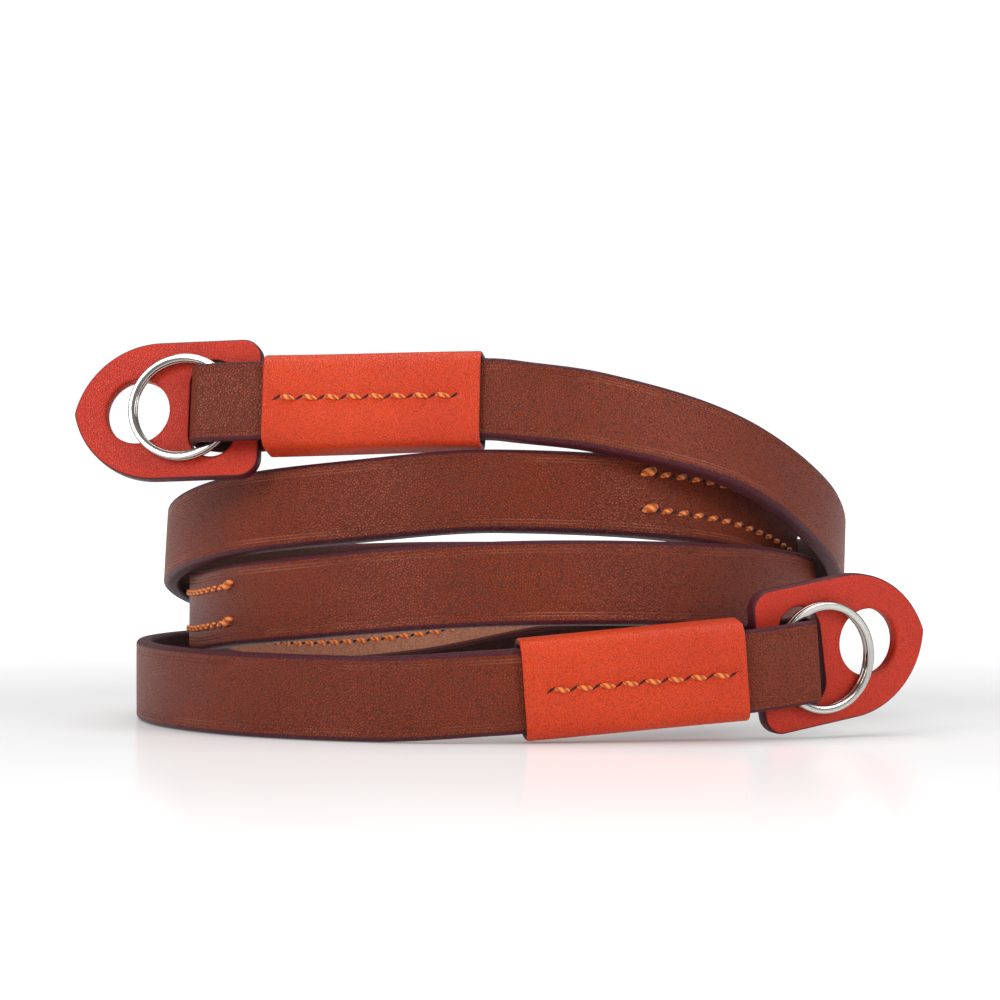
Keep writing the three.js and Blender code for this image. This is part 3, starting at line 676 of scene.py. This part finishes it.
rim_places = 11
for label, end in ends.items():
    a = np.radians(np.linspace(-90, 90, rim_places))
    inset = guard_round * (1 - np.cos(a))
    level = np.sign(a) * (guard_thickness / 2 - guard_round) + guard_round * np.sin(a)
    points, faces, paints, base = [], [], [], 0
    tops, bottoms = [], []
    for (edge, out), coat in zip(guard_loops(), (1.0, 0.4, 1.0)):
        rim = edge[:, None] - out[:, None] * inset[None, :, None]
        rim = np.concatenate([rim, np.broadcast_to(level, rim.shape[:2])[..., None]], -1)
        first = np.arange(len(edge)) * rim_places
        here, there = first[:, None], np.roll(first, -1)[:, None]
        j = np.arange(rim_places - 1)[None]
        faces.append(base + np.stack(np.broadcast_arrays(here + j, there + j, there + j + 1,
                                                         here + j + 1), -1).reshape(-1, 4))
        bottoms.append(base + first)
        tops.append(base + first + rim_places - 1)
        points.append(rim.reshape(-1, 3))
        paints.append(np.tile(coat * np.clip(1.6 * np.cos(a) - 0.35, 0, 1), len(edge)))
        base += rim.size // 3
    flat = np.vstack(points)
    for picks, turn in ((bottoms, 1), (tops, -1)):
        triangles = np.array(tessellate_polygon([[tuple(p) for p in flat[pick]] for pick in picks]))
        corners = flat[np.concatenate(picks)][triangles]
        ab, ac = corners[:, 1] - corners[:, 0], corners[:, 2] - corners[:, 0]
        wrong = (ab[:, 0] * ac[:, 1] - ab[:, 1] * ac[:, 0]) * turn > 0
        triangles[wrong] = triangles[wrong][:, ::-1]
        faces.append(np.concatenate(picks)[triangles])
    roll = np.radians(end["side"] * end["roll"])
    x = end["slide"] + flat[:, 0] * np.cos(roll) - flat[:, 1] * np.sin(roll)
    y = flat[:, 0] * np.sin(roll) + flat[:, 1] * np.cos(roll)
    hang = np.radians(end["hang"])
    end["outward"] = end["along"] * np.cos(hang) - end["face"] * np.sin(hang)
    end["front"] = end["face"] * np.cos(hang) + end["along"] * np.sin(hang)
    end["across"] = np.cross(end["front"], end["outward"])
    placed = (end["origin"] + end["outward"] * x[:, None] + end["across"] * y[:, None]
              + end["front"] * flat[:, 2:])
    guard = piece(f"lug_guard_{label}_leather", placed, faces, guard_leather,
                  painted=np.concatenate(paints))
    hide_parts(f"lug_guard_{label}")

# Rings. Bright split rings of flattened spring wire, wound in two turns that lie against each
# other. The wire steps from one turn to the next beside its own two cut ends, behind the strap.

wire_thick, wire_pitch, wire_round = 0.74, 0.76, 0.25
ring_level = guard_thickness / 2 + fit_gap + ring_depth / 2

ring_steel = bpy.data.materials.new("ring_steel")
ring_steel.use_nodes = True
tree = ring_steel.node_tree
shader = tree.nodes["Principled BSDF"]
shader.inputs["Base Color"].default_value = colour(172, 169, 164)
shader.inputs["Metallic"].default_value = 1.0
place = wire(tree, "ShaderNodeTexCoord", {}).outputs["Object"]
haze = wire(tree, "ShaderNodeTexNoise", {"Vector": place, "Scale": 900, "Detail": 3}).outputs["Fac"]
polish = wire(tree, "ShaderNodeMapRange", {"Value": haze, "To Min": 0.1, "To Max": 0.2}).outputs["Result"]
tree.links.new(polish, shader.inputs["Roughness"])
for label, end in ends.items():
    a = np.linspace(0.10, 4 * np.pi - 0.10, 260)
    level = (ease((a - 2 * np.pi + 0.35) / 0.7) - 0.5) * wire_pitch
    a = a + np.pi
    section = np.radians(np.linspace(0, 360, 17)[:-1])
    half_wide = (ring_outer - ring_inner) / 2
    radial = np.sign(np.cos(section)) * (half_wide - wire_round) + wire_round * np.cos(section)
    axial = np.sign(np.sin(section)) * (wire_thick / 2 - wire_round) + wire_round * np.sin(section)
    radius = (ring_outer + ring_inner) / 2 + radial[None]
    x = ring_centre + radius * np.cos(a)[:, None]
    y = radius * np.sin(a)[:, None]
    z = ring_level + level[:, None] + axial[None]
    placed = (end["origin"] + end["outward"] * x[..., None] + end["across"] * y[..., None]
              + end["front"] * z[..., None])
    ring = piece(f"split_ring_{label}", placed, tube_faces(*x.shape), ring_steel)
    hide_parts(f"ring_{label}")

# Studio. A white glossy table under soft boxes, with the camera level with the coil, a little
# over half a metre in front of it, as the photograph was taken.

camera = bpy.data.objects.new("camera", bpy.data.cameras.new("camera"))
camera.data.sensor_width = 36.0
camera.data.lens = 126.72
camera.data.clip_start = 0.01
camera.location = (0.000537, -0.54295, 0.0402)
camera.rotation_euler = (np.radians(89.27), 0, 0)
bpy.context.scene.collection.objects.link(camera)
bpy.context.scene.camera = camera
bpy.context.scene.view_settings.view_transform = "Standard"

table_white = bpy.data.materials.new("table_white")
table_white.use_nodes = True
shader = table_white.node_tree.nodes["Principled BSDF"]
shader.inputs["Base Color"].default_value = (0.86, 0.86, 0.86, 1)
shader.inputs["Roughness"].default_value = 0.18
shader.inputs["Specular IOR Level"].default_value = 0.1
shader.inputs["Emission Color"].default_value = (1, 1, 1, 1)
tree = table_white.node_tree
place = wire(tree, "ShaderNodeTexCoord", {}).outputs["Object"]
far = wire(tree, "ShaderNodeVectorMath", {0: place}, operation="LENGTH").outputs["Value"]
glow = wire(tree, "ShaderNodeMapRange", {"Value": far, "From Min": 0.08, "From Max": 0.42, "To Min": 0.13,
                                         "To Max": 0.85}, interpolation_type="SMOOTHSTEP")
tree.links.new(glow.outputs["Result"], shader.inputs["Emission Strength"])
mesh = bpy.data.meshes.new("table")
corners = [(x, y, -0.0001) for x, y in ((-3, -3), (3, -3), (3, 3), (-3, 3))]
mesh.from_pydata(corners, [], [(0, 1, 2, 3)])
mesh.materials.append(table_white)
table = bpy.data.objects.new("table", mesh)
bpy.context.scene.collection.objects.link(table)

world = bpy.data.worlds.new("studio")
world.use_nodes = True
sky = world.node_tree.nodes["Background"]
sky.inputs["Color"].default_value = (1, 1, 1, 1)
seen = wire(world.node_tree, "ShaderNodeLightPath", {}).outputs["Is Camera Ray"]
strength = wire(world.node_tree, "ShaderNodeMapRange", {"Value": seen, "To Min": 0.35, "To Max": 1.05})
world.node_tree.links.new(strength.outputs["Result"], sky.inputs["Strength"])
bpy.context.scene.world = world


def soft_box(name, place, aim, size, power):
    """A square area light at a place, its axis turned to the point that it is aimed at."""
    lamp = bpy.data.lights.new(name, "AREA")
    lamp.size = size
    lamp.energy = power
    made = bpy.data.objects.new(name, lamp)
    made.location = place
    way = unit(np.array(aim, float) - np.array(place, float))
    made.rotation_euler = (np.arccos(-way[2]), 0, np.arctan2(-way[0], way[1]))
    bpy.context.scene.collection.objects.link(made)


soft_box("box_left", (-0.75, -0.75, 0.6), (0, 0, 0.03), 0.6, 8)
soft_box("box_right", (0.8, -0.6, 0.45), (0, 0, 0.03), 0.5, 5)
soft_box("box_top", (0, 0.1, 0.9), (0, 0, 0), 0.8, 6)
